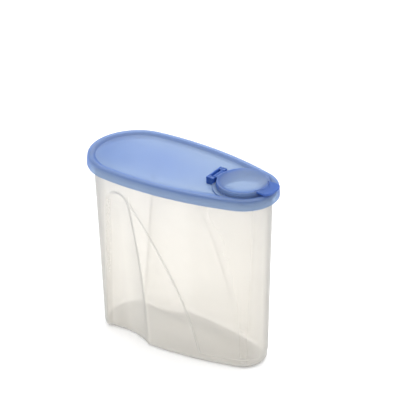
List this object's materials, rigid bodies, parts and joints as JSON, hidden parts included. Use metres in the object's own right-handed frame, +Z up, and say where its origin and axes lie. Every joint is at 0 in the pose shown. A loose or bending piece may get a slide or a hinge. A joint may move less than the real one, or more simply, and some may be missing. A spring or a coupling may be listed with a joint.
{
  "type": "cereal container",
  "caption": "Tall egg-shaped food keeper with hand grips, a press-fit rimmed lid and a round hinged pouring cap at its narrow end.",
  "frame": {"origin": "on the table, under the middle of the lid's length and width", "axes": "+X towards the pouring end, +Y across the body, +Z up"},
  "size_m": [0.2316, 0.1104, 0.2194],
  "materials": {
    "container": "natural frosted",
    "lid": "satin",
    "flip_cap": "satin"
  },
  "bodies": {
    "container": {"container": "container"},
    "lid": {"lid": "lid"},
    "flip_cap": {"flip_cap": "flip_cap"}
  },
  "joints": [
    {"name": "lid_lift", "type": "slide", "parent": "container", "child": "lid", "axis": [0, 0, 1], "range_m": [0, 0.05]},
    {"name": "cap_flip", "type": "hinge", "parent": "lid", "child": "flip_cap", "pos_m": [0.045, 0, 0.2164], "axis": [0, -1, 0], "range_deg": [0, 105]}
  ]
}
